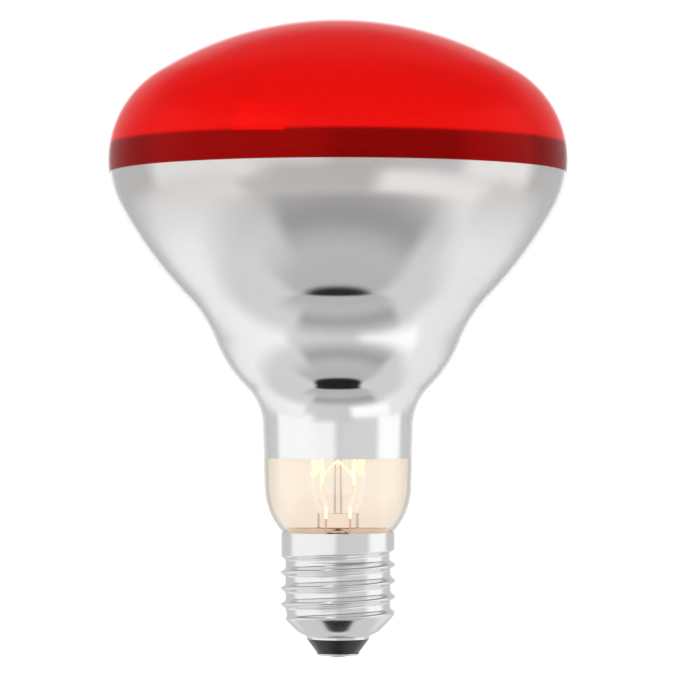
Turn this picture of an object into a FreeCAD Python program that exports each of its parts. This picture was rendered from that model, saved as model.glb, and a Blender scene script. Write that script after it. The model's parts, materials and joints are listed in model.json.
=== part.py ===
import FreeCAD, Part
import math
import os
import Sketcher
from FreeCAD import Vector

# Infrared heat lamp bulb: a blown reflector bulb cemented in a screw cap.
# The origin is on the axis, at the flat of the centre solder, which is the lowest point.
# +Z runs up the axis to the red dome, and -Y is the side that faces a viewer.
# Lengths are in millimetres and angles in degrees.

CAP_SIZES = {
    "solder_proud": 0.45,
    "solder_land_dia": 2.6,
    "solder_dome_dia": 4.4,
    "solder_fill": 0.3,
    "contact_dia": 9.4,
    "contact_thick": 0.4,
    "contact_edge": 0.25,
    "contact_hole_dia": 2.4,
    "collar_wall": 0.4,
    "collar_rise": 1.1,
    "insulator_foot_dia": 9.7,
    "insulator_foot_lip": 0.25,
    "insulator_drop": 3.35,
    "insulator_spread_dia": 17.0,
    "insulator_shelf": 0.5,
    "insulator_dish_dia": 6.4,
    "insulator_dish_rise": 1.1,
    "cap_height": 28.35,
    "sheet_thick": 0.3,
    "mouth_dia": 14.3,
    "mouth_lip": 0.45,
    "dome_low_slope": 27.0,
    "dome_high_slope": 45.0,
    "dome_knee_dia": 18.8,
    "dome_knee_radius": 2.2,
    "thread_crest_dia": 26.3,
    "thread_pitch": 3.629,
    "thread_depth": 1.13,
    "thread_land": 0.2,
    "groove_count": 4,
    "skirt_inset": 0.2,
    "notch_width": 1.4,
    "notch_depth": 1.5,
    "side_solder_dia": 1.8,
    "side_solder_drop": 0.95,
    "cement_depth": 6.2,
    "cement_below_rim": 0.25,
    "cement_gap": 0.05,
}

GLASS_SIZES = {
    "rim_gap": 0.05,
    "glass_wall": 0.9,
    "crown_rise": 31.74,
    "equator_dia": 104.4,
    "equator_rise": 84.6,
    "shoulder_radius": 23.4,
    "shoulder_turn": 29.2,
    "reflector_radius": 95.9,
    "waist_radius": 28.55,
    "bowl_bulge": 13.22,
    "bowl_drop": 30.25,
    "neck_fillet": 12.4,
    "neck_dia": 33.56,
    "neck_taper": 1.6,
    "tuck_radius": 15.56,
    "seal_fillet": 3.0,
    "seal_dia": 21.6,
    "seal_depth": 7.85,
    "red_coat": 0.1,
    "red_edge_rise": 81.75,
    "mirror_coat": 0.1,
    "mirror_top_rise": 88.35,
    "mirror_low_rise": 16.85,
}

MOUNT_SIZES = {
    "stem_dia": 9.2,
    "stem_bore_dia": 7.2,
    "flare_edge": 1.0,
    "flare_lip_width": 0.9,
    "stem_crown": 2.2,
    "pinch_width": 9.4,
    "pinch_thick": 3.2,
    "pinch_corner": 1.2,
    "pinch_rise": 3.6,
    "pinch_sink": 1.6,
    "weld_depth": 1.2,
    "seal_wire_dia": 0.5,
    "seal_wire_pitch": 5.5,
    "seal_wire_tail": 1.0,
    "exhaust_dia": 4.0,
    "exhaust_bore_dia": 2.6,
    "exhaust_length": 12.0,
    "rod_dia": 2.0,
    "button_dia": 3.0,
    "button_rise": 19.05,
    "button_flare": 1.3,
    "button_band": 0.5,
    "inner_lead_dia": 0.8,
    "inner_lead_straight": 1.6,
    "inner_lead_spread": 4.6,
    "inner_lead_bend": 1.5,
    "inner_lead_proud": 0.7,
    "outer_lead_dia": 0.4,
    "outer_lead_bend": 1.0,
    "filament_ring_dia": 11.6,
    "filament_dia": 0.7,
    "filament_bend": 0.8,
    "filament_low_rise": 12.95,
    "filament_high_rise": 16.55,
    "filament_gap_angle": 80.0,
    "support_count": 7,
    "support_wire_dia": 0.3,
    "support_eye_clearance": 0.2,
    "support_bend": 0.6,
    "support_reach": 0.7,
}

doc = FreeCAD.newDocument("heat_lamp")
sizes = doc.addObject("Spreadsheet::Sheet", "sizes")
places = doc.addObject("App::VarSet", "places")


def fill_sheet(groups):
    """Writes each size on a row of its own, with its name beside it and as its alias."""
    row = 1
    for group in groups:
        for name, number in group.items():
            sizes.set(f"A{row}", name)
            sizes.set(f"B{row}", str(number))
            sizes.setAlias(f"B{row}", name)
            row += 1
    doc.recompute()


def size(name):
    """The number that the sheet holds under a name."""
    return float(sizes.get(name))


def place(name, formula):
    """Keeps a place or radius that follows from the sizes, under a name of its own."""
    places.addProperty("App::PropertyFloat", name, "Derived")
    places.setExpression(name, formula)
    doc.recompute()


def value(formula):
    """The number that a formula over sizes and places gives."""
    result = sizes.evalExpression(formula)
    return float(getattr(result, "Value", result))


def origin_plane(body, role):
    """One of a body's own origin planes, found by its role."""
    return next(item for item in body.Origin.OriginFeatures if item.Role == role)


def bent_centre(start, end, radius, clockwise):
    """Centre of the short arc of that radius from start to end."""
    chord = end - start
    across = Vector(-chord.y, chord.x, 0).normalize()
    height = math.sqrt(max(radius ** 2 - (chord.Length / 2) ** 2, 0))
    return (start + end) / 2 + across * (-height if clockwise else height)


def section(body, corners):
    """Draws a closed half section on the body's XZ plane and ties each corner to the sizes.

    A corner is (x, z) or (x, z, radius, clockwise), where the radius bends the side after it.
    """
    sketch = body.newObject("Sketcher::SketchObject", f"{body.Name}_section")
    sketch.AttachmentSupport = (origin_plane(body, "XZ_Plane"), [""])
    sketch.MapMode = "FlatFace"
    spots = [Vector(value(corner[0]), value(corner[1]), 0) for corner in corners]
    starts = []
    for index, corner in enumerate(corners):
        start = spots[index]
        end = spots[(index + 1) % len(spots)]
        if len(corner) == 2:
            sketch.addGeometry(Part.LineSegment(start, end))
            starts.append((1, 2))
            continue
        radius, clockwise = value(corner[2]), corner[3]
        centre = bent_centre(start, end, radius, clockwise)
        low, high = (end, start) if clockwise else (start, end)
        angles = [math.atan2(spot.y - centre.y, spot.x - centre.x) for spot in (low, high)]
        sketch.addGeometry(Part.ArcOfCircle(Part.Circle(centre, Vector(0, 0, 1), radius), *angles))
        starts.append((2, 1) if clockwise else (1, 2))
    for index, corner in enumerate(corners):
        following = (index + 1) % len(corners)
        sketch.addConstraint(Sketcher.Constraint(
            "Coincident", index, starts[index][1], following, starts[following][0]))
        first = starts[index][0]
        if corner[0] == "0":
            sketch.addConstraint(Sketcher.Constraint("PointOnObject", index, first, -2))
        else:
            tie(sketch, f"corner_{index}_x", corner[0], "DistanceX", -1, 1, index, first)
        tie(sketch, f"corner_{index}_z", corner[1], "DistanceY", -1, 1, index, first)
        if len(corner) > 2:
            tie(sketch, f"bend_{index}", corner[2], "Radius", index)
    return sketch


def tie(sketch, name, formula, kind, *points):
    """Adds a dimension to a sketch and binds it to a formula."""
    number = sketch.addConstraint(Sketcher.Constraint(kind, *points, value(formula)))
    sketch.renameConstraint(number, name)
    sketch.setExpression(f"Constraints.{name}", formula)


def turned_body(label, corners):
    """A body made by turning a half section about the axis."""
    body = doc.addObject("PartDesign::Body", label)
    body.Label = label
    turn_feature = body.newObject("PartDesign::Revolution", f"{label}_turn")
    turn_feature.Profile = section(body, corners)
    turn_feature.ReferenceAxis = (turn_feature.Profile[0], ["V_Axis"])
    turn_feature.Angle = 360
    body.Tip = turn_feature
    return body


def bare_part(label, shape):
    """An object that holds a shape worked out from the sheet."""
    feature = doc.addObject("Part::Feature", label)
    feature.Label = label
    feature.Shape = shape
    return feature


def cut_part(label, base, tool):
    """One object less another."""
    cut = doc.addObject("Part::Cut", label)
    cut.Label = label
    cut.Base = base
    cut.Tool = tool
    return cut


def round_path(points, bend):
    """Straight runs through the points, joined by tangent arcs of one bend radius."""
    edges = []
    here = points[0]
    for before, corner, after in zip(points, points[1:], points[2:]):
        arrive = (corner - before).normalize()
        leave = (after - corner).normalize()
        half_turn = arrive.getAngle(leave) / 2
        setback = bend * math.tan(half_turn)
        inward = (leave - arrive).normalize()
        middle = corner + inward * (bend / math.cos(half_turn) - bend)
        edges.append(Part.LineSegment(here, corner - arrive * setback).toShape())
        here = corner + leave * setback
        edges.append(Part.Arc(corner - arrive * setback, middle, here).toShape())
    edges.append(Part.LineSegment(here, points[-1]).toShape())
    return Part.Wire(edges)


def wire_solid(points, dia, bend):
    """A round wire along straight runs and bends."""
    path = round_path(points, bend)
    ring = Part.Circle(points[0], points[1] - points[0], dia / 2).toShape()
    return path.makePipe(Part.Face(Part.Wire(ring)))


def polar(radius, angle, height):
    """A point at a radius, an angle in degrees from +X and a height."""
    turned = math.radians(angle)
    return Vector(radius * math.cos(turned), radius * math.sin(turned), height)


def cap_places():
    """Heights and radii of the cap, from the contact up."""
    place("contact_top", "sizes.solder_proud + sizes.contact_thick")
    place("mouth", "places.contact_top + sizes.insulator_drop")
    place("rim", "sizes.cap_height")
    place("inner_root", "sizes.thread_crest_dia / 2 - sizes.thread_depth - sizes.sheet_thick")
    place("groove_radius", "((sizes.thread_pitch / 2) ^ 2 + sizes.thread_depth ^ 2)"
          " / (2 * sizes.thread_depth)")
    place("groove_x", "sizes.thread_crest_dia / 2 - sizes.thread_depth + places.groove_radius")
    place("knee_rise", "sizes.mouth_lip"
          " + (sizes.dome_knee_dia - sizes.mouth_dia) / 2 * tan(sizes.dome_low_slope)")
    place("shoulder", "places.mouth + places.knee_rise"
          " + (sizes.thread_crest_dia - sizes.dome_knee_dia) / 2 * tan(sizes.dome_high_slope)")
    place("thread_low", "places.shoulder + sizes.thread_land")
    place("last_groove", "places.thread_low"
          " + (sizes.groove_count - 0.5) * sizes.thread_pitch")
    place("skirt", "sizes.thread_crest_dia / 2 - sizes.skirt_inset")
    place("skirt_inside", "places.skirt - sizes.sheet_thick")


def glass_places():
    """Arc centres of the bulb, and the unit directions at which its arcs meet.

    Each pair of neighbouring arcs is tangent, so the line through their centres gives the joint.
    """
    place("shoulder_x", "sizes.equator_dia / 2 - sizes.shoulder_radius")
    place("shoulder_z", "places.rim + sizes.equator_rise")
    place("crown_radius", "(places.shoulder_x ^ 2 + sizes.crown_rise ^ 2"
          " - sizes.shoulder_radius ^ 2) / (2 * (sizes.crown_rise - sizes.shoulder_radius))")
    place("crown_top", "places.shoulder_z + sizes.crown_rise")
    place("crown_joint_x", "places.shoulder_x / (places.crown_radius - sizes.shoulder_radius)")
    place("crown_joint_z", "sqrt(1 - places.crown_joint_x ^ 2)")
    place("turn_joint_x", "cos(sizes.shoulder_turn)")
    place("turn_joint_z", "-sin(sizes.shoulder_turn)")
    place("reflector_x", "places.shoulder_x"
          " - (sizes.reflector_radius - sizes.shoulder_radius) * places.turn_joint_x")
    place("reflector_z", "places.shoulder_z"
          " - (sizes.reflector_radius - sizes.shoulder_radius) * places.turn_joint_z")
    place("bowl_x", "0")
    place("bowl_z", "places.shoulder_z - sizes.bowl_drop")
    place("bowl_radius", "sizes.neck_dia / 2 + sizes.bowl_bulge")
    place("span", "sqrt(places.reflector_x ^ 2 + (places.bowl_z - places.reflector_z) ^ 2)")
    place("span_x", "-places.reflector_x / places.span")
    place("span_z", "(places.bowl_z - places.reflector_z) / places.span")
    place("waist_along", "((sizes.reflector_radius + sizes.waist_radius) ^ 2"
          " - (places.bowl_radius + sizes.waist_radius) ^ 2 + places.span ^ 2)"
          " / (2 * places.span)")
    place("waist_across", "sqrt((sizes.reflector_radius + sizes.waist_radius) ^ 2"
          " - places.waist_along ^ 2)")
    place("waist_x", "places.reflector_x + places.span_x * places.waist_along"
          " - places.span_z * places.waist_across")
    place("waist_z", "places.reflector_z + places.span_z * places.waist_along"
          " + places.span_x * places.waist_across")
    for axis in "xz":
        place(f"waist_joint_{axis}", f"(places.waist_{axis} - places.reflector_{axis})"
              " / (sizes.reflector_radius + sizes.waist_radius)")
        place(f"bowl_joint_{axis}", f"(places.waist_{axis} - places.bowl_{axis})"
              " / (places.bowl_radius + sizes.waist_radius)")
    place("neck_joint_x", "cos(sizes.neck_taper)")
    place("neck_joint_z", "-sin(sizes.neck_taper)")
    place("tuck_x", "sizes.neck_dia / 2 - sizes.tuck_radius")
    place("tuck_z", "places.rim + sqrt(sizes.tuck_radius ^ 2"
          " - (places.skirt_inside - sizes.rim_gap - places.tuck_x) ^ 2)")
    place("fillet_base_x", "places.tuck_x"
          " + (sizes.tuck_radius + sizes.neck_fillet) * places.neck_joint_x")
    place("fillet_base_z", "places.tuck_z - places.bowl_z"
          " + (sizes.tuck_radius + sizes.neck_fillet) * places.neck_joint_z")
    place("fillet_lean", "places.fillet_base_x * sin(sizes.neck_taper)"
          " + places.fillet_base_z * cos(sizes.neck_taper)")
    place("fillet_climb", "-places.fillet_lean - sqrt(places.fillet_lean ^ 2"
          " - places.fillet_base_x ^ 2 - places.fillet_base_z ^ 2"
          " + (places.bowl_radius + sizes.neck_fillet) ^ 2)")
    place("fillet_x", "places.fillet_base_x + places.fillet_climb * sin(sizes.neck_taper)")
    place("fillet_z", "places.bowl_z + places.fillet_base_z"
          " + places.fillet_climb * cos(sizes.neck_taper)")
    place("fillet_joint_x", "places.fillet_x / (places.bowl_radius + sizes.neck_fillet)")
    place("fillet_joint_z", "(places.fillet_z - places.bowl_z)"
          " / (places.bowl_radius + sizes.neck_fillet)")
    place("seal_x", "sizes.seal_dia / 2 + sizes.seal_fillet")
    place("seal_z", "places.tuck_z - sqrt((sizes.tuck_radius + sizes.seal_fillet) ^ 2"
          " - (places.seal_x - places.tuck_x) ^ 2)")
    for axis in "xz":
        place(f"seal_joint_{axis}", f"(places.seal_{axis} - places.tuck_{axis})"
              " / (sizes.tuck_radius + sizes.seal_fillet)")
    place("glass_end", "places.rim - sizes.seal_depth")


def joint(centre, direction, radius):
    """The point at a radius from a named centre, along a named joint direction."""
    return tuple(f"places.{centre}_{axis} + ({radius}) * places.{direction}_joint_{axis}"
                 for axis in "xz")


def glass_line(inset):
    """Corners down the bulb from the crown's joint, on a surface that lies inset in the glass.

    Each corner carries the radius of the arc below it, and whether that arc bulges outwards.
    """
    return [
        (*joint("shoulder", "crown", f"sizes.shoulder_radius - ({inset})"),
         f"sizes.shoulder_radius - ({inset})", True),
        (*joint("shoulder", "turn", f"sizes.shoulder_radius - ({inset})"),
         f"sizes.reflector_radius - ({inset})", True),
        (*joint("reflector", "waist", f"sizes.reflector_radius - ({inset})"),
         f"sizes.waist_radius + ({inset})", False),
        (*joint("bowl", "bowl", f"places.bowl_radius - ({inset})"),
         f"places.bowl_radius - ({inset})", True),
        (*joint("bowl", "fillet", f"places.bowl_radius - ({inset})"),
         f"sizes.neck_fillet + ({inset})", False),
        joint("fillet", "neck", f"-sizes.neck_fillet - ({inset})"),
        (*joint("tuck", "neck", f"sizes.tuck_radius - ({inset})"),
         f"sizes.tuck_radius - ({inset})", True),
        (*joint("tuck", "seal", f"sizes.tuck_radius - ({inset})"),
         f"sizes.seal_fillet + ({inset})", False),
        (f"sizes.seal_dia / 2 - ({inset})", "places.seal_z"),
    ]


def reversed_line(corners):
    """The same line walked the other way, with each bend carried to the corner before it."""
    flipped = []
    for index in range(len(corners) - 1, -1, -1):
        bend = corners[index - 1][2:] if index else ()
        bend = (bend[0], not bend[1]) if bend else ()
        flipped.append((*corners[index][:2], *bend))
    return flipped


def shoulder_width(height, inset):
    """Radius of the shoulder arc at a height, on a surface that lies inset in the glass."""
    return (f"places.shoulder_x + sqrt((sizes.shoulder_radius - ({inset})) ^ 2"
            f" - ({height} - places.shoulder_z) ^ 2)")


def neck_width(height, inset):
    """Radius of the tapered neck at a height, on a surface that lies inset in the glass."""
    return (f"places.tuck_x + (sizes.tuck_radius - ({inset})) / cos(sizes.neck_taper)"
            f" + ({height} - places.tuck_z) * tan(sizes.neck_taper)")


def glass_bulb():
    """One blown wall from the crown down to the cut end that is melted to the stem's flare."""
    crown = ("0", "places.crown_top", "places.crown_radius", True)
    inside = reversed_line(glass_line("sizes.glass_wall"))
    inside[-1] = (*inside[-1][:2], "places.crown_radius - sizes.glass_wall", False)
    turned_body("glass_bulb", [
        crown,
        *glass_line("0"),
        ("sizes.seal_dia / 2", "places.glass_end"),
        ("sizes.seal_dia / 2 - sizes.glass_wall", "places.glass_end"),
        *inside,
        ("0", "places.crown_top - sizes.glass_wall"),
    ])


def mirror_coating():
    """Metal film on the inside of the glass, from the neck to a little above the equator."""
    top = "places.rim + sizes.mirror_top_rise"
    low = "places.rim + sizes.mirror_low_rise"
    outer = "sizes.glass_wall"
    inner = "sizes.glass_wall + sizes.mirror_coat"
    down = glass_line(outer)[1:6]
    up = reversed_line(glass_line(inner)[1:6])
    up[-1] = (*up[-1][:2], f"sizes.shoulder_radius - ({inner})", False)
    turned_body("mirror_coating", [
        (shoulder_width(top, outer), top, f"sizes.shoulder_radius - ({outer})", True),
        *down,
        (neck_width(low, outer), low),
        (neck_width(low, inner), low),
        *up,
        (shoulder_width(top, inner), top),
    ])


def red_coating():
    """Red coat over the outside of the dome, down past the equator."""
    edge = "places.rim + sizes.red_edge_rise"
    outer = "-sizes.red_coat"
    turned_body("red_coating", [
        ("0", "places.crown_top + sizes.red_coat", "places.crown_radius + sizes.red_coat", True),
        glass_line(outer)[0],
        (shoulder_width(edge, outer), edge),
        (shoulder_width(edge, "0"), edge, "sizes.shoulder_radius", False),
        (*glass_line("0")[0][:2], "places.crown_radius", False),
        ("0", "places.crown_top"),
    ])


def skirt_corner(inset):
    """Height at which the last groove's arc runs out into the skirt."""
    return (f"places.last_groove + sqrt((places.groove_radius + {inset}) ^ 2"
            f" - (places.groove_x - places.skirt + {inset}) ^ 2)")


def cap_form(label, inset, low, high):
    """Solid outer or inner form of the cap, inset from the sheet's outside.

    The thread is drawn as rings: narrow crests one pitch apart, with a hollow arc between them.
    """
    low_slope = "sizes.dome_low_slope"
    high_slope = "sizes.dome_high_slope"
    mouth_radius = f"sizes.mouth_dia / 2 - ({inset})"
    knee_x = (f"sizes.dome_knee_dia / 2 - ({inset}) * (sin({low_slope}) + sin({high_slope}))"
              f" / (1 + cos({high_slope} - {low_slope}))")
    knee_z = (f"places.mouth + places.knee_rise + ({inset})"
              f" * (cos({low_slope}) + cos({high_slope}))"
              f" / (1 + cos({high_slope} - {low_slope}))")
    knee_radius = f"sizes.dome_knee_radius - ({inset})"
    setback = f"({knee_radius}) * tan(({high_slope} - {low_slope}) / 2)"
    skirt = f"places.skirt - ({inset})"
    hollow = f"places.groove_radius + {inset}"
    crest = f"places.groove_x - sqrt(({hollow}) ^ 2 - (sizes.thread_pitch / 2) ^ 2)"
    turned_body(label, [
        ("0", low),
        (mouth_radius, low),
        (mouth_radius, f"places.mouth + sizes.mouth_lip"
         f" + ({inset}) * cos({low_slope}) / (1 + sin({low_slope}))"),
        (f"{knee_x} - {setback} * cos({low_slope})", f"{knee_z} - {setback} * sin({low_slope})",
         knee_radius, False),
        (f"{knee_x} + {setback} * cos({high_slope})",
         f"{knee_z} + {setback} * sin({high_slope})"),
        (crest, f"{knee_z} + ({crest} - ({knee_x})) * tan({high_slope})"),
        *[(crest, f"places.thread_low + {turn} * sizes.thread_pitch", hollow, True)
          for turn in range(int(size("groove_count")))],
        (skirt, skirt_corner(inset)),
        (skirt, high),
        ("0", high),
    ])
    return doc.getObject(label)


def screw_shell():
    """Thin sheet drawn to a cup, with a notch in its rim where the side lead comes out."""
    outer = cap_form("cap_outside", "0", "places.mouth", "places.rim")
    inner = cap_form("cap_inside", "sizes.sheet_thick",
                     "places.mouth - sizes.mouth_lip", "places.rim + sizes.mouth_lip")
    tube = cut_part("cap_tube", outer, inner)
    cut_part("screw_shell", tube, notch_block("rim_notch"))


def notch_block(label):
    """The notch in the rim at the back, where the side lead comes out."""
    block = doc.addObject("Part::Box", label)
    block.setExpression("Length", "sizes.notch_width")
    block.setExpression("Width", "places.skirt")
    block.setExpression("Height", "sizes.notch_depth")
    block.setExpression("Placement.Base.x", "-sizes.notch_width / 2")
    block.setExpression("Placement.Base.z", "places.rim - sizes.notch_depth")
    return block


def insulator():
    """Glassy button melted into the cap's mouth, which holds the contact clear of the sheet."""
    inside_lip = ("places.mouth + sizes.mouth_lip + sizes.sheet_thick"
                  " * cos(sizes.dome_low_slope) / (1 + sin(sizes.dome_low_slope))")
    spread = (f"{inside_lip} + (sizes.insulator_spread_dia / 2 - sizes.mouth_dia / 2"
              " + sizes.sheet_thick) * tan(sizes.dome_low_slope)")
    hole = "sizes.contact_hole_dia / 2 + sizes.collar_wall"
    turned_body("insulator", [
        (hole, "places.contact_top"),
        ("sizes.insulator_foot_dia / 2", "places.contact_top"),
        ("sizes.insulator_foot_dia / 2", "places.contact_top + sizes.insulator_foot_lip"),
        ("sizes.mouth_dia / 2", "places.mouth"),
        ("sizes.mouth_dia / 2 - sizes.sheet_thick", "places.mouth"),
        ("sizes.mouth_dia / 2 - sizes.sheet_thick", inside_lip),
        ("sizes.insulator_spread_dia / 2", spread),
        ("sizes.insulator_spread_dia / 2", f"{spread} + sizes.insulator_shelf"),
        ("sizes.insulator_dish_dia / 2", "places.mouth + sizes.insulator_dish_rise"),
        (hole, "places.mouth + sizes.insulator_dish_rise"),
    ])


def centre_contact():
    """Contact plate with a rounded edge and a collar that stands up into the insulator."""
    bore = "sizes.contact_hole_dia / 2"
    edge = "sizes.contact_dia / 2"
    turned_body("centre_contact", [
        (bore, "sizes.solder_proud"),
        (f"{edge} - sizes.contact_edge", "sizes.solder_proud", "sizes.contact_edge", False),
        (edge, "sizes.solder_proud + sizes.contact_edge"),
        (edge, "places.contact_top"),
        (f"{bore} + sizes.collar_wall", "places.contact_top"),
        (f"{bore} + sizes.collar_wall", "places.contact_top + sizes.collar_rise"),
        (bore, "places.contact_top + sizes.collar_rise"),
    ])


def centre_solder():
    """Solder that fills the contact's bore and stands below it as a low dome worn flat."""
    turned_body("centre_solder", [
        ("0", "0"),
        ("sizes.solder_land_dia / 2", "0", "sizes.solder_dome_dia / 2", False),
        ("sizes.solder_dome_dia / 2", "sizes.solder_proud"),
        ("sizes.contact_hole_dia / 2", "sizes.solder_proud"),
        ("sizes.contact_hole_dia / 2", "places.contact_top + sizes.solder_fill"),
        ("0", "places.contact_top + sizes.solder_fill"),
    ])


def side_solder():
    """Solder bead over the rim's notch, with a plug through the thickness of the sheet."""
    bead = doc.addObject("Part::Sphere", "solder_bead")
    bead.setExpression("Radius", "sizes.side_solder_dia / 2")
    bead.setExpression("Placement.Base.y", "places.skirt")
    bead.setExpression("Placement.Base.z", "places.rim - sizes.side_solder_drop")
    cup = doc.addObject("Part::Cylinder", "cup_outside")
    cup.setExpression("Radius", "places.skirt")
    cup.setExpression("Height", "places.rim + sizes.crown_rise")
    outside = cut_part("bead_outside", bead, cup)
    hollow = doc.addObject("Part::Cylinder", "cup_hollow")
    hollow.setExpression("Radius", "places.skirt_inside")
    hollow.setExpression("Height", "places.rim + sizes.crown_rise")
    wall = cut_part("skirt_wall", cup, hollow)
    plug = doc.addObject("Part::Common", "notch_plug")
    plug.Base = wall
    plug.Tool = notch_block("plug_block")
    solder = doc.addObject("Part::Fuse", "side_solder")
    solder.Base = outside
    solder.Tool = plug


def side_lead_points():
    """Route of the side lead: down into the cap, under the flare, and up beside the neck."""
    start = side_lead_start(-1)
    low = value("places.glass_end - sizes.outer_lead_bend * 2")
    channel = (size("seal_dia") / 2 + value("places.inner_root")) / 2
    exit_height = value("places.rim - sizes.notch_depth + sizes.outer_lead_dia")
    inside = value("sqrt(places.skirt_inside ^ 2 - (sizes.outer_lead_dia / 2) ^ 2)")
    return [
        start,
        Vector(start.x, 0, low),
        Vector(0, channel, low),
        Vector(0, channel, value("places.seal_z")),
        Vector(0, inside - size("outer_lead_dia") * 1.5, exit_height),
        Vector(0, inside, exit_height),
    ]


def side_lead_start(side):
    """Lower end of a seal wire, in the stem's bore."""
    return Vector(side * size("seal_wire_pitch") / 2, 0,
                  value("places.bore_top - sizes.seal_wire_tail"))


def basing_cement():
    """Ring of cement between the neck and the sheet, with a channel for the side lead."""
    outside = "places.skirt_inside"
    narrow = "places.inner_root - sizes.cement_gap"
    top = "places.rim - sizes.cement_below_rim"
    low = "places.rim - sizes.cement_depth"
    wide_from = f"{skirt_corner('sizes.sheet_thick')} + sizes.thread_land"
    tuck = glass_line("0")
    body = turned_body("cement_ring", [
        ("sizes.seal_dia / 2", low),
        (narrow, low),
        (narrow, wide_from),
        (outside, wide_from),
        (outside, top),
        (f"places.tuck_x + sqrt(sizes.tuck_radius ^ 2 - (places.tuck_z - ({top})) ^ 2)", top,
         "sizes.tuck_radius", True),
        (*tuck[7][:2], "sizes.seal_fillet", False),
        tuck[8],
    ])
    channel = side_lead_points()
    channel[-1].y = value("places.skirt")
    lead = bare_part("lead_channel", wire_solid(
        channel, size("outer_lead_dia"), size("outer_lead_bend")))
    cut_part("basing_cement", body, lead)


def stem_places():
    """Heights of the glass stem that closes the bulb and carries the filament's mount."""
    place("flare_edge_x", "sizes.seal_dia / 2 - sizes.glass_wall")
    place("flare_top", "places.glass_end + sizes.flare_edge")
    place("stem_top", "places.flare_top + places.flare_edge_x - sizes.stem_dia / 2")
    place("bore_top", "places.glass_end + places.flare_edge_x - sizes.flare_lip_width"
          " - sizes.stem_bore_dia / 2 + sizes.glass_wall / 2")
    place("pinch_low", "places.stem_top + sizes.stem_crown - sizes.pinch_sink")
    place("pinch_top", "places.pinch_low + sizes.pinch_rise + sizes.pinch_sink")
    place("weld", "places.pinch_top - sizes.weld_depth")


def stem():
    """Flare, tube and flattened pinch as one piece of glass, bored for the wires."""
    lip = "places.flare_edge_x - sizes.flare_lip_width"
    tube = "sizes.stem_dia / 2"
    bore = "sizes.stem_bore_dia / 2"
    body = turned_body("stem", [
        (lip, "places.glass_end"),
        ("places.flare_edge_x", "places.glass_end"),
        ("places.flare_edge_x", "places.flare_top", f"places.flare_edge_x - {tube}", True),
        (tube, "places.stem_top"),
        ("sizes.pinch_thick / 2", "places.stem_top + sizes.stem_crown"),
        ("0", "places.stem_top + sizes.stem_crown"),
        ("0", "places.bore_top"),
        (bore, "places.bore_top"),
        (bore, f"places.glass_end + {lip} - {bore}", f"{lip} - {bore}", False),
    ])
    pinch = body.newObject("PartDesign::AdditiveBox", "pinch")
    pinch.setExpression("Length", "sizes.pinch_width")
    pinch.setExpression("Width", "sizes.pinch_thick")
    pinch.setExpression("Height", "places.pinch_top - places.pinch_low")
    pinch.AttachmentSupport = (origin_plane(body, "XY_Plane"), [""])
    pinch.MapMode = "FlatFace"
    pinch.setExpression("AttachmentOffset.Base.x", "-sizes.pinch_width / 2")
    pinch.setExpression("AttachmentOffset.Base.y", "-sizes.pinch_thick / 2")
    pinch.setExpression("AttachmentOffset.Base.z", "places.pinch_low")
    doc.recompute()
    upright = [f"Edge{number}" for number, edge in enumerate(pinch.Shape.Edges, 1)
               if edge.BoundBox.ZMax > value("places.pinch_top") - 0.01
               and edge.BoundBox.ZLength > size("pinch_rise")]
    rounding = body.newObject("PartDesign::Fillet", "pinch_rounding")
    rounding.Base = (pinch, upright)
    rounding.setExpression("Radius", "sizes.pinch_corner")
    wire_holes(body, "seal_wire", "sizes.seal_wire_dia / 2", "places.bore_top",
               "places.weld")
    wire_holes(body, "inner_lead", "sizes.inner_lead_dia / 2", "places.weld",
               "places.pinch_top")


def wire_holes(body, name, radius, low, high):
    """A pair of straight holes through the glass for the wires melted into it."""
    for side in (-1, 1):
        hole = body.newObject("PartDesign::SubtractiveCylinder", f"{name}_hole")
        hole.setExpression("Radius", radius)
        hole.setExpression("Height", f"{high} - {low}")
        hole.AttachmentSupport = (origin_plane(body, "XY_Plane"), [""])
        hole.MapMode = "FlatFace"
        hole.setExpression("AttachmentOffset.Base.x", f"{side} * sizes.seal_wire_pitch / 2")
        hole.setExpression("AttachmentOffset.Base.z", low)
        body.Tip = hole
        doc.recompute()


def exhaust_tube():
    """Pumping tube under the stem, melted shut at its lower end."""
    outer = "sizes.exhaust_dia / 2"
    inner = "sizes.exhaust_bore_dia / 2"
    tip = "places.bore_top - sizes.exhaust_length"
    turned_body("exhaust_tube", [
        ("0", tip, outer, False),
        (outer, f"{tip} + {outer}"),
        (outer, "places.bore_top"),
        (inner, "places.bore_top"),
        (inner, f"{tip} + {outer}", inner, True),
        ("0", f"{tip} + {outer} - {inner}"),
    ])


def mount_rod():
    """Glass rod with a flared button at its top, socketed for the support wires."""
    rod = "sizes.rod_dia / 2"
    button = "sizes.button_dia / 2"
    middle = "places.rim + sizes.button_rise"
    body = turned_body("rod_and_button", [
        ("0", "places.pinch_top"),
        (rod, "places.pinch_top"),
        (rod, f"{middle} - sizes.button_band - sizes.button_flare"),
        (button, f"{middle} - sizes.button_band"),
        (button, f"{middle} + sizes.button_band",
         f"(({button}) ^ 2 + sizes.button_band ^ 2) / (2 * sizes.button_band)", False),
        ("0", f"{middle} + sizes.button_band * 2"),
    ])
    sockets = []
    for step in range(1, int(size("support_count")) + 1):
        angle = node_angle(step)
        root = support_root(angle)
        outward = polar(1, angle, 0)
        sockets.append(Part.makeCylinder(size("support_wire_dia") / 2, size("button_dia"),
                                         root, outward))
    cut_part("mount_rod", body, bare_part("support_sockets", Part.Compound(sockets)))


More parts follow.
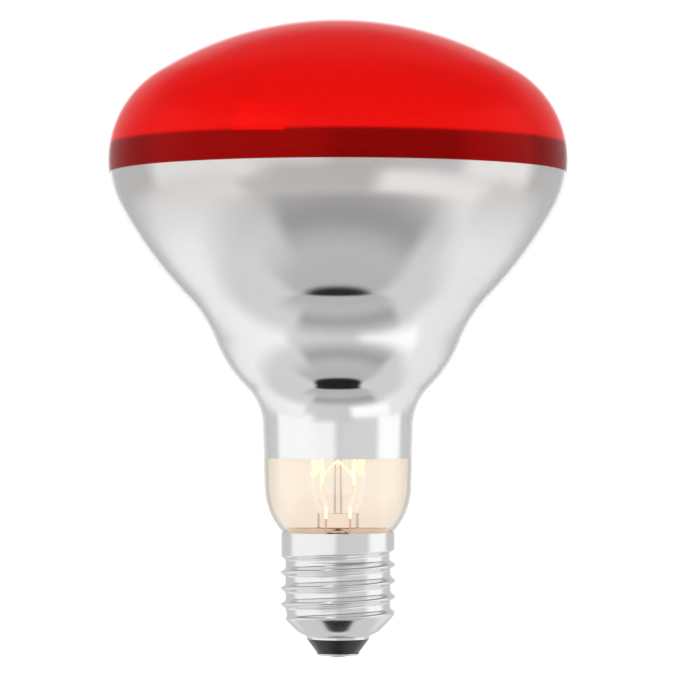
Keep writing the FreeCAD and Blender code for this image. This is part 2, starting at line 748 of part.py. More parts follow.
def seal_wires():
    """Sealing wires through the pinch, and a straight tail of each in the stem's bore."""
    for name, side in (("left", -1), ("right", 1)):
        wire = doc.addObject("Part::Cylinder", f"seal_wire_{name}")
        wire.Label = f"seal_wire_{name}"
        wire.setExpression("Radius", "sizes.seal_wire_dia / 2")
        wire.setExpression("Height", "places.weld - places.bore_top + sizes.seal_wire_tail")
        wire.setExpression("Placement.Base.x", f"{side} * sizes.seal_wire_pitch / 2")
        wire.setExpression("Placement.Base.z", "places.bore_top - sizes.seal_wire_tail")


def node_angle(step):
    """Angle in degrees of a filament node, counted from the left lead round the front."""
    gap = size("filament_gap_angle")
    spans = size("support_count") + 1
    return 90 + gap / 2 + step * (360 - gap) / spans


def node_height(step):
    """Filament nodes lie high and low by turns, and both leads are high."""
    rise = "filament_low_rise" if step % 2 else "filament_high_rise"
    return value("places.rim") + size(rise)


def filament_nodes():
    """Centres of the filament at the leads and at each support."""
    last = int(size("support_count")) + 1
    ring = size("filament_ring_dia") / 2
    return [polar(ring, node_angle(step), node_height(step)) for step in range(last + 1)]


def filament():
    """Coiled wire as a plain tube of the coil's outer diameter, strung between the leads."""
    coil = bare_part("coil", wire_solid(
        filament_nodes(), size("filament_dia"), size("filament_bend")))
    clear_left = cut_part("coil_left_end", coil, doc.getObject("inner_lead_left"))
    cut_part("filament", clear_left, doc.getObject("inner_lead_right"))


def inner_leads():
    """Stiff leads from the pinch to the two ends of the filament."""
    nodes = filament_nodes()
    top = size("inner_lead_proud")
    for name, side, node in (("left", -1, nodes[0]), ("right", 1, nodes[-1])):
        foot = Vector(side * size("seal_wire_pitch") / 2, 0, value("places.weld"))
        turn_height = value("places.pinch_top + sizes.inner_lead_straight")
        points = [
            foot,
            Vector(foot.x, foot.y, turn_height),
            Vector(node.x, node.y, turn_height + size("inner_lead_spread")),
            Vector(node.x, node.y, node.z + top),
        ]
        bare_part(f"inner_lead_{name}", wire_solid(
            points, size("inner_lead_dia"), size("inner_lead_bend")))


def outer_leads():
    """Thin leads from the seal wires to the contact's solder and to the rim's solder."""
    bend = size("outer_lead_bend")
    dia = size("outer_lead_dia")
    start = side_lead_start(1)
    level = value("places.mouth + sizes.insulator_dish_rise") + bend * 4
    points = [
        start,
        Vector(start.x, 0, level + start.x),
        Vector(0, 0, level),
        Vector(0, 0, value("places.contact_top + sizes.solder_fill")),
    ]
    bare_part("outer_lead_centre", wire_solid(points, dia, bend))
    bare_part("outer_lead_side", wire_solid(side_lead_points(), dia, bend))


def support_root(angle):
    """Start of a support wire, inside the button."""
    depth = size("button_dia") / 2 - size("support_wire_dia") * 2
    return polar(depth, angle, value("places.rim + sizes.button_rise"))


def support_wires():
    """Wires out of the button, each with an eye round the coil at its filament node."""
    nodes = filament_nodes()
    dia = size("support_wire_dia")
    eye = size("filament_dia") / 2 + dia / 2 + size("support_eye_clearance")
    for step in range(1, len(nodes) - 1):
        angle = node_angle(step)
        before = (nodes[step] - nodes[step - 1]).normalize()
        after = (nodes[step + 1] - nodes[step]).normalize()
        half_turn = before.getAngle(after) / 2
        inward = (after - before).normalize()
        bend = size("filament_bend")
        centre = nodes[step] + inward * (bend / math.cos(half_turn) - bend)
        ring = math.hypot(centre.x, centre.y)
        shoulder = value("places.rim + sizes.button_rise") - size("support_reach")
        points = [
            support_root(angle),
            polar(size("button_dia") / 2 + dia, angle,
                  value("places.rim + sizes.button_rise")),
            polar(ring, angle, shoulder),
            Vector(centre.x, centre.y, centre.z + eye),
        ]
        leg = wire_solid(points, dia, size("support_bend"))
        along = polar(1, angle + 90, 0)
        loop = Part.makeTorus(eye, dia / 2, centre, along)
        bare_part(f"support_wire_{step}", leg.fuse(loop))


NODES = [
    "glass_bulb", "mirror_coating", "red_coating", "stem", "exhaust_tube", "mount_rod",
    "seal_wire_left", "seal_wire_right", "inner_lead_left", "inner_lead_right", "filament",
    *[f"support_wire_{number}" for number in range(1, MOUNT_SIZES["support_count"] + 1)],
    "outer_lead_centre", "outer_lead_side", "screw_shell", "insulator", "centre_contact",
    "centre_solder", "side_solder", "basing_cement",
]


def write_nodes():
    """Checks every object and writes each node's shape to its own file."""
    doc.recompute()
    for item in doc.Objects:
        if "Invalid" in item.State or "Error" in item.State:
            raise RuntimeError(f"{item.Name} failed: {item.State}")
    os.makedirs("parts", exist_ok=True)
    for name in NODES:
        shape = doc.getObject(name).Shape
        if shape.isNull() or not shape.isValid() or len(shape.Solids) != 1:
            raise RuntimeError(f"{name} is not one valid solid")
        shape.exportStep(f"parts/{name}.step")


fill_sheet([CAP_SIZES, GLASS_SIZES, MOUNT_SIZES])
cap_places()
glass_places()
stem_places()
glass_bulb()
mirror_coating()
red_coating()
screw_shell()
insulator()
centre_contact()
centre_solder()
side_solder()
basing_cement()
stem()
exhaust_tube()
mount_rod()
seal_wires()
inner_leads()
filament()
support_wires()
outer_leads()
write_nodes()
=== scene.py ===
import bmesh
import bpy
import json
import math
import numpy as np
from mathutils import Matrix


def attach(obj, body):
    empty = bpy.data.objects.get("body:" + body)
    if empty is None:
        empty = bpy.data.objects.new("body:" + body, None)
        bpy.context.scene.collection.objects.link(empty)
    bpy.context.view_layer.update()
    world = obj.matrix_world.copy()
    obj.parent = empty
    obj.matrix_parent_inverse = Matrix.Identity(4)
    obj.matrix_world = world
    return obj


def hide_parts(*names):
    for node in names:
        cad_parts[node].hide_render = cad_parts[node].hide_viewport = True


# Infrared heat lamp bulb, lit, in front of a white studio background.
# Lengths are in metres. Sizes of the lamp's pieces are written in millimetres and scaled by MM.

MM = 0.001

# Blown bulb: heights are above the lamp's lowest point.
RIM = 28.35
WALL = 0.9
EQUATOR_R, EQUATOR_Z = 52.2, 112.95
CROWN_RISE = 31.74
SHOULDER_R, SHOULDER_TURN = 23.4, math.radians(29.2)
REFLECTOR_R = 95.9
WAIST_R = 28.55
BOWL_R, BOWL_Z = 30.0, 82.7
NECK_FILLET_R, NECK_TAPER = 12.4, math.radians(1.6)
TUCK_R, TUCK_X, TUCK_RIM_X = 15.56, 1.22, 12.6
SEAL_R, SEAL_FILLET_R, GLASS_END = 10.8, 3.0, 20.5
RED_EDGE, MIRROR_TOP, MIRROR_LOW = 110.1, 116.7, 45.2
FILM_GAP, FILM_THICK = 0.02, 0.06
# The mirror turns browner round one height; the red coat's painted glow and the glass's painted
# warm tint end at the mirror's edges. A colour's change reaches this far to either side.
BROWNER_Z, BROWNER_SOFT, PAINTED_GLOW_SOFT, PAINTED_WARMTH_SOFT = 97.0, 9.0, 0.6, 0.4

# Screw cap.
SHEET = 0.3
MOUTH_R, MOUTH_Z, MOUTH_LIP = 7.15, 4.2, 0.45
KNEE_SLOPE, KNEE_BLEND = math.radians(27), 0.35
CREST_R, THREAD_DEPTH, PITCH = 13.15, 1.13, 3.629
SHOULDER_Z, GROOVE_START, THREAD_TURNS = 9.546, 8.417, 4.2
SKIRT_R, SKIRT_STEP_Z, SKIRT_STEP_HALF = 12.95, 21.84, 0.4
CREST_SHARPNESS, SHOULDER_SOFTNESS, GROOVE_FADE = 2.2, 0.8, 0.4
FINE_ROWS_LOW, FINE_ROWS_HIGH = 7.0, 25.0

# Filament ring.
RING_R, RING_GAP, SUPPORTS = 5.8, 80.0, 7
FILAMENT_HIGH, FILAMENT_LOW = 44.9, 41.3
COIL_R, COIL_WIRE_R, COIL_PITCH, COIL_BEND = 0.27, 0.07, 0.3, 0.8

# Faces round the turned pieces and the cap, points in a turn of the coil and in a bend of its
# path, and sides of its wire.
TURNED_COLUMNS, CAP_COLUMNS, COIL_STEPS, BEND_POINTS, WIRE_SIDES = 200, 216, 12, 9, 6
# In metres: points closer than the first are merged, and edges shorter than the second dropped.
SAME_PLACE, NO_LENGTH = 1e-7, 1e-8
SHARP_TURN = math.radians(40)

# Camera and studio.
CAMERA_DISTANCE, CAMERA_HEIGHT, CAMERA_SIDE = 0.797, 0.0584, 0.00046
CAMERA_PITCH, FOCAL_MM, SENSOR_MM = math.radians(0.982), 185.3, 36.0
LAMP_MIDDLE_Z = 0.085
FLOOR_Z, FLOOR_REACH, FLOOR_TONE, FLOOR_GLOW = -0.3, 30.0, 0.5, 0.76
KEY_PLACE, KEY_TARGET, KEY_POWER, KEY_SIZE = (-0.6, -0.7, 0.7), (0, 0, 0.07), 3.0, 0.5

# The studio's brightness by direction, as the parts of a unit vector from the lamp. Each edge
# holds where it begins and ends. The dark foot is an ellipse on the floor below.
WALL_LEVEL, CEILING_FALL, CEILING_EDGE = 0.64, 0.34, (0.42, 0.66)
BACKDROP_LEVEL, BACKDROP_EDGE = 1.08, (0.93, 0.965)
FOOT_BACK, FOOT_HALF_WIDTH, FOOT_HALF_DEPTH, FOOT_DARKNESS = -0.04, 0.25, 0.145, 0.97
FOOT_EDGE, BELOW_EDGE = (0.75, 1.3), (0.6, 0.7)

# Soft panels, each laid over the ones before it: brightness, from and to azimuth, from and to
# elevation, and half the width of the soft edge, in degrees. Azimuth 0 is towards the camera,
# and it grows to the right.
PANELS = (
    (1.02, -108, -4, -26, 32, 8),
    (0.7, 4, 64, -26, 32, 8),
    (1.08, 66, 114, -26, 32, 8),
    (0.64, 30, 125, -80, -26, 14),
    (0.64, -125, -30, -80, -26, 14),
    (0.88, -150, -55, -42, -18, 8),
    (0.84, 88, 150, -48, -18, 8),
    (0.6, -40, 30, -42, -12, 12),
    (1.04, 22, 90, -42, -20, 8),
    (0.36, -46, 70, -64, -47, 9),
    (0.46, -80, 80, -100, -62, 10),
)


# Surfaces

def arc(centre, radius, start, end, steps):
    """Points on a circle's arc, evenly spaced in angle from start to end, as (radius, height)."""
    angle = np.linspace(start, end, steps)
    return np.column_stack([centre[0] + radius * np.cos(angle),
                            centre[1] + radius * np.sin(angle)])


def heading(origin, target):
    """Angle of the line from origin to target."""
    return math.atan2(target[1] - origin[1], target[0] - origin[0])


def meeting(first, first_reach, second, second_reach, side):
    """Point at given distances from two centres: along their line, then off it to one side."""
    span = math.hypot(second[0] - first[0], second[1] - first[1])
    along = (first_reach ** 2 - second_reach ** 2 + span ** 2) / (2 * span)
    across = side * math.sqrt(first_reach ** 2 - along ** 2)
    ux, uz = (second[0] - first[0]) / span, (second[1] - first[1]) / span
    return first[0] + ux * along - uz * across, first[1] + uz * along + ux * across


def bulb_centres():
    """Centres of the bulb's tangent arcs: neighbours bulging the same way lie apart by the
    difference of their radii, and neighbours bulging opposite ways by the sum."""
    shoulder = (EQUATOR_R - SHOULDER_R, EQUATOR_Z)
    crown_radius = ((shoulder[0] ** 2 + CROWN_RISE ** 2 - SHOULDER_R ** 2)
                    / (2 * (CROWN_RISE - SHOULDER_R)))
    crown = (0.0, EQUATOR_Z + CROWN_RISE - crown_radius)
    lean = REFLECTOR_R - SHOULDER_R
    reflector = (shoulder[0] - lean * math.cos(SHOULDER_TURN),
                 shoulder[1] + lean * math.sin(SHOULDER_TURN))
    bowl = (0.0, BOWL_Z)
    waist = meeting(reflector, REFLECTOR_R + WAIST_R, bowl, BOWL_R + WAIST_R, 1)
    # The neck fillet's centre runs beside the neck's taper, up to where it touches the bowl.
    tuck = (TUCK_X, RIM + math.sqrt(TUCK_R ** 2 - (TUCK_RIM_X - TUCK_X) ** 2))
    base = (TUCK_X + (TUCK_R + NECK_FILLET_R) * math.cos(NECK_TAPER),
            tuck[1] - (TUCK_R + NECK_FILLET_R) * math.sin(NECK_TAPER))
    rise = base[0] * math.sin(NECK_TAPER) + (base[1] - BOWL_Z) * math.cos(NECK_TAPER)
    climb = -rise - math.sqrt(rise ** 2 - base[0] ** 2 - (base[1] - BOWL_Z) ** 2
                              + (BOWL_R + NECK_FILLET_R) ** 2)
    fillet = (base[0] + climb * math.sin(NECK_TAPER), base[1] + climb * math.cos(NECK_TAPER))
    seal_x = SEAL_R + SEAL_FILLET_R
    seal = (seal_x, tuck[1] - math.sqrt((TUCK_R + SEAL_FILLET_R) ** 2 - (seal_x - TUCK_X) ** 2))
    return crown, crown_radius, shoulder, reflector, waist, bowl, fillet, tuck, seal


def bulb_line(inset):
    """Half section of the bulb from the crown down to the cut end, on a surface that lies inset
    in the wall: arcs that bulge outwards lose the inset, and the hollow ones gain it."""
    crown, crown_radius, shoulder, reflector, waist, bowl, fillet, tuck, seal = bulb_centres()
    top = heading(crown, shoulder)
    turn = -SHOULDER_TURN
    waist_in = heading(reflector, waist)
    waist_out = heading(waist, bowl) % (2 * math.pi)
    bowl_out = heading(bowl, fillet)
    fillet_in = heading(fillet, bowl) % (2 * math.pi)
    seal_in = heading(tuck, seal)
    return np.vstack([
        arc(crown, crown_radius - inset, math.pi / 2, top, 30),
        arc(shoulder, SHOULDER_R - inset, top, turn, 40)[1:],
        arc(reflector, REFLECTOR_R - inset, turn, waist_in, 40)[1:],
        arc(waist, WAIST_R + inset, waist_in + math.pi, waist_out, 30)[1:],
        arc(bowl, BOWL_R - inset, waist_out - math.pi, bowl_out, 30)[1:],
        arc(fillet, NECK_FILLET_R + inset, fillet_in, math.pi - NECK_TAPER, 24)[1:],
        arc(tuck, TUCK_R - inset, -NECK_TAPER, seal_in, 40),
        arc(seal, SEAL_FILLET_R + inset, seal_in + math.pi, math.pi, 12)[1:],
        [[SEAL_R - inset, GLASS_END]],
    ])


def cut_line(line, low, high):
    """The stretch of a falling half section between two heights, with its ends on them."""
    height = line[:, 1]
    keep = line[(height > low) & (height < high)]
    ends = [[np.interp(-level, -height, line[:, 0]), level] for level in (high, low)]
    return np.vstack([ends[0], keep, ends[1]])


def turned(name, section):
    """Mesh of a closed half section turned about the axis: each point goes round at its own
    radius and height, and points on the axis are merged to one."""
    angle = np.linspace(0, 2 * np.pi, TURNED_COLUMNS, endpoint=False)
    radius = np.repeat(section[:, :1], TURNED_COLUMNS, axis=1)
    height = np.repeat(section[:, 1:], TURNED_COLUMNS, axis=1)
    return grid_mesh(name, radius * np.cos(angle), radius * np.sin(angle), height)


def grid_mesh(name, x, y, z, close_rows=True):
    """Mesh of a grid of points in millimetres. Columns close on themselves, and so do rows
    unless they end on the axis. Doubled points are merged and the faces point outwards."""
    rows, columns = x.shape
    points = np.stack([x, y, z], axis=-1).reshape(-1, 3) * MM
    row, column = np.meshgrid(np.arange(rows if close_rows else rows - 1),
                              np.arange(columns), indexing="ij")
    below = (row + 1) % rows
    beside = (column + 1) % columns
    faces = np.stack([row * columns + column, below * columns + column,
                      below * columns + beside, row * columns + beside], axis=-1)
    mesh = bpy.data.meshes.new(name)
    mesh.from_pydata(points.tolist(), [], faces.reshape(-1, 4).tolist())
    piece = bpy.data.objects.new(name, mesh)
    bpy.context.scene.collection.objects.link(piece)
    tidy_mesh(mesh)
    return piece


def tidy_mesh(mesh):
    """Merges doubled points, turns the faces outwards and shades them smoothly."""
    work = bmesh.new()
    work.from_mesh(mesh)
    bmesh.ops.remove_doubles(work, verts=work.verts, dist=SAME_PLACE)
    bmesh.ops.dissolve_degenerate(work, edges=work.edges, dist=NO_LENGTH)
    bmesh.ops.recalc_face_normals(work, faces=work.faces)
    work.to_mesh(mesh)
    work.free()
    mesh.shade_smooth()
    mesh.set_sharp_from_angle(angle=SHARP_TURN)


def ring_nodes():
    """Corners of the filament: high and low by turns round a ring that is open at the back."""
    step = np.arange(SUPPORTS + 2)
    angle = np.radians(90 + RING_GAP / 2 + step * (360 - RING_GAP) / (SUPPORTS + 1))
    height = np.where(step % 2 == 0, FILAMENT_HIGH, FILAMENT_LOW)
    return np.column_stack([RING_R * np.cos(angle), RING_R * np.sin(angle), height])


def rounded_path(corners, bend, spacing):
    """Even points along straight runs whose corners are rounded by arcs of one radius."""
    points = [corners[0]]
    for before, corner, after in zip(corners, corners[1:], corners[2:]):
        arrive = (corner - before) / np.linalg.norm(corner - before)
        leave = (after - corner) / np.linalg.norm(after - corner)
        half = math.acos(np.clip(arrive @ leave, -1, 1)) / 2
        inward = (leave - arrive) / np.linalg.norm(leave - arrive)
        centre = corner + inward * bend / math.cos(half)
        for swing in np.linspace(-half, half, BEND_POINTS):
            points.append(centre - bend * (inward * math.cos(swing)
                                           - (arrive + leave) / (2 * math.cos(half))
                                           * math.sin(swing)))
    points.append(corners[-1])
    points = np.array(points)
    gone = np.concatenate([[0], np.cumsum(np.linalg.norm(np.diff(points, axis=0), axis=1))])
    even = np.linspace(0, gone[-1], int(gone[-1] / spacing) + 1)
    return np.column_stack([np.interp(even, gone, points[:, axis]) for axis in range(3)])


def side_frames(path):
    """Unit vectors along a path, level across it, and square to both."""
    along = np.gradient(path, axis=0)
    along /= np.linalg.norm(along, axis=1, keepdims=True)
    across = np.cross(along, [0, 0, 1.0])
    across /= np.linalg.norm(across, axis=1, keepdims=True)
    return along, across, np.cross(across, along)


def tube(name, path, radius, sides):
    """Round wire along a path: at each point a circle square to the path, closed at both ends."""
    _, across, upward = side_frames(path)
    angle = np.linspace(0, 2 * np.pi, sides, endpoint=False)
    ring = (across[:, None, :] * np.cos(angle)[None, :, None]
            + upward[:, None, :] * np.sin(angle)[None, :, None]) * radius + path[:, None, :]
    ends = [np.repeat(path[index][None, None, :], sides, axis=1) for index in (0, -1)]
    grid = np.concatenate([ends[0], ring, ends[1]])
    return grid_mesh(name, grid[:, :, 0], grid[:, :, 1], grid[:, :, 2], close_rows=False)


def smooth(low, high, value):
    """0 below low, 1 above high, and an S curve between."""
    share = np.clip((value - low) / (high - low), 0, 1)
    return share * share * (3 - 2 * share)


def cap_radius(turn, height):
    """Outer radius of the cap. The plain form is a low cone, a steeper cone with a soft knee, a
    cylinder at the crests and a slightly narrower skirt. A right-hand helical groove is sunk in
    it, with narrow crests, and fades at both ends."""
    low_cone = MOUTH_R + np.maximum(height - MOUTH_Z - MOUTH_LIP, 0) / math.tan(KNEE_SLOPE)
    below = SHOULDER_Z - height
    steep = CREST_R - (below + np.sqrt(below ** 2 + SHOULDER_SOFTNESS ** 2)) / 2
    plain = (low_cone + steep - np.sqrt((low_cone - steep) ** 2 + KNEE_BLEND ** 2)) / 2
    plain = np.where(height <= MOUTH_Z + MOUTH_LIP, MOUTH_R, plain)
    plain -= (CREST_R - SKIRT_R) * smooth(
        SKIRT_STEP_Z - SKIRT_STEP_HALF, SKIRT_STEP_Z + SKIRT_STEP_HALF, height)
    climb = (height - GROOVE_START) / PITCH
    wound = np.floor(climb - turn + 0.5) + turn
    hollow = 1 - ((1 - np.cos(2 * np.pi * (climb - wound))) / 2) ** CREST_SHARPNESS
    depth = smooth(0, GROOVE_FADE, wound) * (1 - smooth(
        THREAD_TURNS - GROOVE_FADE / 2, THREAD_TURNS + GROOVE_FADE / 2, wound))
    return plain - THREAD_DEPTH * hollow * depth


# Pieces

def glass_bulb():
    """Clear wall between the outer and the inner line."""
    section = np.vstack([bulb_line(0), bulb_line(WALL)[::-1]])
    return turned("glass_bulb_wall", section)


def mirror_coating():
    """Metal film just inside the wall."""
    lines = [cut_line(bulb_line(WALL + gap), MIRROR_LOW, MIRROR_TOP)
             for gap in (FILM_GAP, FILM_GAP + FILM_THICK)]
    return turned("mirror_film", np.vstack([lines[0], lines[1][::-1]]))


def red_coating():
    """Red coat just outside the dome. Its cut above the crown only adds a point, left out."""
    above_crown = EQUATOR_Z + CROWN_RISE + 1
    lines = [cut_line(bulb_line(-gap), RED_EDGE, above_crown)[1:]
             for gap in (FILM_GAP + FILM_THICK, FILM_GAP)]
    return turned("red_stain_film", np.vstack([lines[0], lines[1][::-1]]))


def screw_shell():
    """Rolled sheet: the outer surface, and the same surface moved in by the sheet's thickness."""
    rows = np.concatenate([
        np.linspace(MOUTH_Z, MOUTH_Z + MOUTH_LIP, 4),
        np.linspace(MOUTH_Z + MOUTH_LIP, FINE_ROWS_LOW, 24)[1:],
        np.linspace(FINE_ROWS_LOW, FINE_ROWS_HIGH, 190)[1:],
        np.linspace(FINE_ROWS_HIGH, RIM, 8)[1:],
    ])
    turn, height = np.meshgrid(np.linspace(0, 1, CAP_COLUMNS, endpoint=False), rows)
    radius = cap_radius(turn, height)
    radius = np.vstack([radius, radius[::-1] - SHEET])
    height = np.vstack([height, height[::-1]])
    angle = 2 * np.pi * np.vstack([turn, turn[::-1]])
    return grid_mesh("rolled_cap", radius * np.cos(angle), radius * np.sin(angle), height)


def filament():
    """Wire wound as a coil round the ring's path: a circle whose angle grows with the distance."""
    path = rounded_path(ring_nodes(), COIL_BEND, COIL_PITCH / COIL_STEPS)
    _, across, upward = side_frames(path)
    angle = (2 * np.pi / COIL_STEPS * np.arange(len(path)))[:, None]
    coil = path + COIL_R * (across * np.cos(angle) + upward * np.sin(angle))
    return tube("filament_coil", coil, COIL_WIRE_R, WIRE_SIDES)


# Materials

class Socket:
    """A shader value that can be used in sums, differences, products and quotients."""

    def __init__(self, graph, output):
        self.graph, self.output = graph, output

    def math(self, operation, *others, swap=False):
        values = [self, *others]
        return self.graph.node("ShaderNodeMath", {"operation": operation},
                               dict(enumerate(values[::-1] if swap else values)))

    def __add__(self, other):
        return self.math("ADD", other)

    def __radd__(self, other):
        return self.math("ADD", other)

    def __sub__(self, other):
        return self.math("SUBTRACT", other)

    def __rsub__(self, other):
        return self.math("SUBTRACT", other, swap=True)

    def __mul__(self, other):
        return self.math("MULTIPLY", other)

    def __rmul__(self, other):
        return self.math("MULTIPLY", other)

    def __truediv__(self, other):
        return self.math("DIVIDE", other)

    def __rtruediv__(self, other):
        return self.math("DIVIDE", other, swap=True)


class Graph:
    """The nodes of one material or world."""

    def __init__(self, owner):
        owner.use_nodes = True
        self.tree = owner.node_tree
        self.tree.nodes.clear()

    def node(self, kind, settings=None, inputs=None, output=0):
        """Adds a node, sets it up, fills its sockets with values or links, and gives an output.
        Sockets go by name, or by number where several have one name."""
        added = self.tree.nodes.new(kind)
        for name, setting in (settings or {}).items():
            setattr(added, name, setting)
        for name, given in (inputs or {}).items():
            if isinstance(given, Socket):
                self.tree.links.new(given.output, added.inputs[name])
            else:
                added.inputs[name].default_value = given
        return Socket(self, added.outputs[output]) if added.outputs else None

    def ramp(self, value, low, high):
        """0 below low and 1 above high, with a smooth rise between."""
        return self.node("ShaderNodeMapRange", {"interpolation_type": "SMOOTHSTEP"}, {
            "Value": value, "From Min": low, "From Max": high})


def material(name, surface):
    """A new material whose surface one function makes in its graph."""
    made = bpy.data.materials.new(name)
    graph = Graph(made)
    graph.node("ShaderNodeOutputMaterial", None, {"Surface": surface(graph)})
    return made


def plain(name, colour, roughness, **more):
    """A material of one colour: more names sockets of the principled shader."""
    values = {"Base Color": (*colour, 1), "Roughness": roughness}
    values.update({key.replace("_", " "): value for key, value in more.items()})
    return material(name, lambda graph: graph.node("ShaderNodeBsdfPrincipled", None, values))


def glowing(name, colour, strength):
    """Metal hot enough to shine."""
    return plain(name, (0.2, 0.17, 0.14), 0.5, Metallic=1.0,
                 Emission_Color=(*colour, 1), Emission_Strength=strength)


def rolled_aluminium():
    """Bright drawn sheet with a faint grain round the cap."""
    def surface(graph):
        place = graph.node("ShaderNodeTexCoord", output="Object")
        stretched = graph.node("ShaderNodeMapping", None, {
            "Vector": place, "Scale": (60, 60, 2500)})
        grain = graph.node("ShaderNodeTexNoise", None, {
            "Vector": stretched, "Scale": 1.0, "Detail": 3.0})
        return graph.node("ShaderNodeBsdfPrincipled", None, {
            "Base Color": (0.86, 0.86, 0.86, 1), "Metallic": 1.0,
            "Roughness": 0.1 + 0.1 * grain})
    return material("rolled_aluminium", surface)


def colour_by_height(graph, level, soft, below, above):
    """One colour below a height on the lamp and another above it. The change goes smoothly from
    soft millimetres under the height to as many over it."""
    place = graph.node("ShaderNodeTexCoord", output="Object")
    height = graph.node("ShaderNodeSeparateXYZ", None, {"Vector": place}, output="Z")
    first_colour, second_colour, mixed_colour = 6, 7, 2
    return graph.node("ShaderNodeMix", {"data_type": "RGBA"}, {
        "Factor": graph.ramp(height, (level - soft) * MM, (level + soft) * MM),
        first_colour: (*below, 1), second_colour: (*above, 1)}, output=mixed_colour)


def red_stain():
    """Red coat. The filament's light through it is painted as an even red glow, and left out where
    the mirror lies behind it, so it is darker there.
    """
    def surface(graph):
        # Painted light: the filament's glow through the red coat, only above the mirror's top.
        painted_glow = colour_by_height(graph, MIRROR_TOP, PAINTED_GLOW_SOFT, (0, 0, 0), (0.18, 0.004, 0.003))
        return graph.node("ShaderNodeBsdfPrincipled", None, {
            "Base Color": (0.66, 0.008, 0.006, 1), "Roughness": 0.0, "IOR": 1.12,
            "Transmission Weight": 0.88, "Emission Color": painted_glow, "Emission Strength": 1.0})
    return material("red_stain", surface)


def mirror_metal():
    """Metal film, a little browner and darker towards its thin edge at the dome."""
    def surface(graph):
        tone = colour_by_height(graph, BROWNER_Z, BROWNER_SOFT,
                                (0.93, 0.93, 0.93), (0.71, 0.69, 0.68))
        return graph.node("ShaderNodeBsdfPrincipled", None, {
            "Base Color": tone, "Metallic": 1.0, "Roughness": 0.07})
    return material("mirror_film", surface)


def clear_glass():
    """Clear wall. In the part of the neck without a mirror, the filament's warm light is painted
    into its colour as a warm tint.
    """
    def surface(graph):
        # Painted light: a warm tint for the filament's glow in the neck, below the mirror's low
        # edge.
        painted_warmth = colour_by_height(graph, MIRROR_LOW, PAINTED_WARMTH_SOFT, (0.97, 0.9, 0.82), (1, 1, 1))
        return graph.node("ShaderNodeBsdfPrincipled", None, {
            "Base Color": painted_warmth, "Roughness": 0.0, "IOR": 1.5, "Transmission Weight": 1.0})
    return material("clear_glass", surface)


def finishes():
    """All the lamp's materials, by the record's slot."""
    return {
        "clear_glass": clear_glass(),
        "mirror_film": mirror_metal(),
        "red_stain": red_stain(),
        "stem_glass": plain("stem_glass", (1.0, 0.99, 0.975), 0.0, IOR=1.5,
                            Transmission_Weight=1.0),
        # Painted light: a glow stands in for the filament's light falling on the seal wires.
        "seal_wire": plain("seal_wire", (0.5, 0.24, 0.16), 0.35, Metallic=1.0,
                           Emission_Color=(1.0, 0.82, 0.62, 1), Emission_Strength=0.45),
        # Painted light: a glow stands in for the filament's light falling on the lead wires.
        "lead_wire": plain("lead_wire", (0.75, 0.72, 0.66), 0.3, Metallic=1.0,
                           Emission_Color=(1.0, 0.92, 0.72, 1), Emission_Strength=0.85),
        "filament": glowing("glowing_tungsten", (1.0, 0.84, 0.46), 1.7),
        # Painted light: a glow stands in for the filament's light falling on the support wires.
        "support_wire": plain("support_wire", (0.7, 0.66, 0.6), 0.35, Metallic=1.0,
                              Emission_Color=(1.0, 0.92, 0.72, 1), Emission_Strength=0.85),
        "copper_wire": plain("copper_wire", (0.75, 0.42, 0.26), 0.3, Metallic=1.0),
        "cap_sheet": rolled_aluminium(),
        "black_glass": plain("black_glass", (0.008, 0.008, 0.009), 0.06, IOR=1.6),
        "contact_brass": plain("tinned_contact", (0.8, 0.78, 0.72), 0.2, Metallic=1.0),
        "solder": plain("solder", (0.72, 0.72, 0.71), 0.3, Metallic=1.0),
        # Painted light: a glow stands in for the filament's light falling on the cement.
        "cement": plain("cement_with_painted_glow", (0.93, 0.9, 0.84), 0.9,
                        Emission_Color=(1.0, 0.88, 0.74, 1), Emission_Strength=0.5),
    }


def dress(piece, coat):
    """Gives a piece one material."""
    piece.data.materials.clear()
    piece.data.materials.append(coat)


# Studio

def studio_level(graph, right, back, up):
    """Brightness of the studio in a direction from the lamp, given as a unit vector. Soft panels
    stand round it, a white backdrop behind it and a dark foot on the floor below."""
    azimuth = right.math("ARCTAN2", 0 - back) * (180 / math.pi)
    elevation = up.math("ARCSINE") * (180 / math.pi)
    shade = WALL_LEVEL - CEILING_FALL * graph.ramp(up, *CEILING_EDGE)
    for level, west, east, low, high, soft in PANELS:
        inside = (graph.ramp(azimuth, west - soft, west + soft)
                  * (1 - graph.ramp(azimuth, east - soft, east + soft))
                  * graph.ramp(elevation, low - soft, low + soft)
                  * (1 - graph.ramp(elevation, high - soft, high + soft)))
        shade = shade + (level - shade) * inside
    across = right / FOOT_HALF_WIDTH
    along = (back - FOOT_BACK) / FOOT_HALF_DEPTH
    outside = graph.ramp(across * across + along * along, *FOOT_EDGE)
    dark = (1 - outside) * graph.ramp(0 - up, *BELOW_EDGE)
    backdrop = graph.ramp(back, *BACKDROP_EDGE)
    return (shade + (BACKDROP_LEVEL - shade) * backdrop) * (1 - FOOT_DARKNESS * dark)


def studio_world():
    """The studio's air and walls, the same for the camera, metal, glass and plain surfaces."""
    world = bpy.data.worlds.new("studio")
    bpy.context.scene.world = world
    graph = Graph(world)
    direction = graph.node("ShaderNodeTexCoord", output="Generated")
    parts = [graph.node("ShaderNodeSeparateXYZ", None, {"Vector": direction}, output=axis)
             for axis in "XYZ"]
    graph.node("ShaderNodeOutputWorld", None, {"Surface": graph.node(
        "ShaderNodeBackground", None, {
            "Color": (1, 1, 1, 1), "Strength": studio_level(graph, *parts)})})


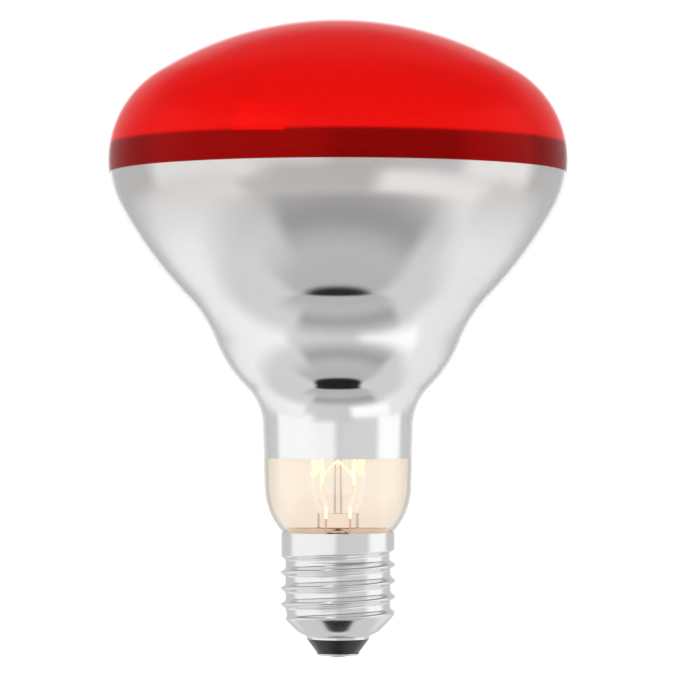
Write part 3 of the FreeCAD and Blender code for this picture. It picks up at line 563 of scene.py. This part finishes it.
def floor():
    """Floor well below the hanging lamp. Each spot has the studio's brightness in its direction
    from the middle of the lamp, so it meets the walls without a seam."""
    mesh = bpy.data.meshes.new("floor")
    corners = [(east * FLOOR_REACH, north * FLOOR_REACH, FLOOR_Z)
               for east, north in ((-1, -1), (1, -1), (1, 1), (-1, 1))]
    mesh.from_pydata(corners, [], [(0, 1, 2, 3)])
    made = bpy.data.objects.new("floor", mesh)
    bpy.context.scene.collection.objects.link(made)

    def surface(graph):
        place = graph.node("ShaderNodeTexCoord", output="Object")
        x, y = (graph.node("ShaderNodeSeparateXYZ", None, {"Vector": place}, output=axis)
                for axis in "XY")
        drop = LAMP_MIDDLE_Z - FLOOR_Z
        away = (x * x + y * y + drop ** 2).math("SQRT")
        level = studio_level(graph, x / away, y / away, (-drop) / away)
        return graph.node("ShaderNodeBsdfPrincipled", None, {
            "Base Color": FLOOR_TONE * level, "Roughness": 0.9, "Specular IOR Level": 0.0,
            "Emission Color": level, "Emission Strength": FLOOR_GLOW})
    dress(made, material("floor_paper", surface))


def key_light():
    """A square soft light at the upper left, in front, that isn't seen in reflections."""
    light = bpy.data.lights.new("key", "AREA")
    light.energy, light.size = KEY_POWER, KEY_SIZE
    made = bpy.data.objects.new("key", light)
    made.location = KEY_PLACE
    aim = np.array(KEY_TARGET) - np.array(KEY_PLACE)
    made.rotation_euler = (math.acos(-aim[2] / np.linalg.norm(aim)), 0,
                           math.atan2(aim[1], aim[0]) - math.pi / 2)
    made.visible_glossy = False
    bpy.context.scene.collection.objects.link(made)


def camera():
    """Level with the lower bulb and pitched up a little, from the front."""
    view = bpy.data.cameras.new("camera")
    view.lens, view.sensor_width = FOCAL_MM, SENSOR_MM
    view.clip_start, view.clip_end = 0.01, 100
    made = bpy.data.objects.new("camera", view)
    made.location = (CAMERA_SIDE, -CAMERA_DISTANCE, CAMERA_HEIGHT)
    made.rotation_euler = (math.pi / 2 + CAMERA_PITCH, 0, 0)
    bpy.context.scene.collection.objects.link(made)
    bpy.context.scene.camera = made


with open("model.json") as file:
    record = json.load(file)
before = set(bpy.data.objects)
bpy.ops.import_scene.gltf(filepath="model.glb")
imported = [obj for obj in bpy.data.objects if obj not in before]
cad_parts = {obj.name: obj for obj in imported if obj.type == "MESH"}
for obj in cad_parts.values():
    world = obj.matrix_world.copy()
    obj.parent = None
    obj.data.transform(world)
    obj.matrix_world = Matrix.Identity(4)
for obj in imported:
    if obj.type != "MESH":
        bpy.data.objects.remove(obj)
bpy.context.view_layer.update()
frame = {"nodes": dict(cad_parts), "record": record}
nodes = frame["nodes"]
finish = finishes()
slots = {entry["node"]: entry["material_slot"] for entry in frame["record"]["subparts"]}
for node, piece in nodes.items():
    dress(piece, finish[slots[node]])

for node, make in (("glass_bulb", glass_bulb), ("mirror_coating", mirror_coating),
                   ("red_coating", red_coating), ("screw_shell", screw_shell),
                   ("filament", filament)):
    piece = make()
    dress(piece, finish[slots[node]])
    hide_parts(node)
    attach(piece, "root")

studio_world()
floor()
key_light()
camera()
bpy.context.scene.view_settings.view_transform = "Standard"
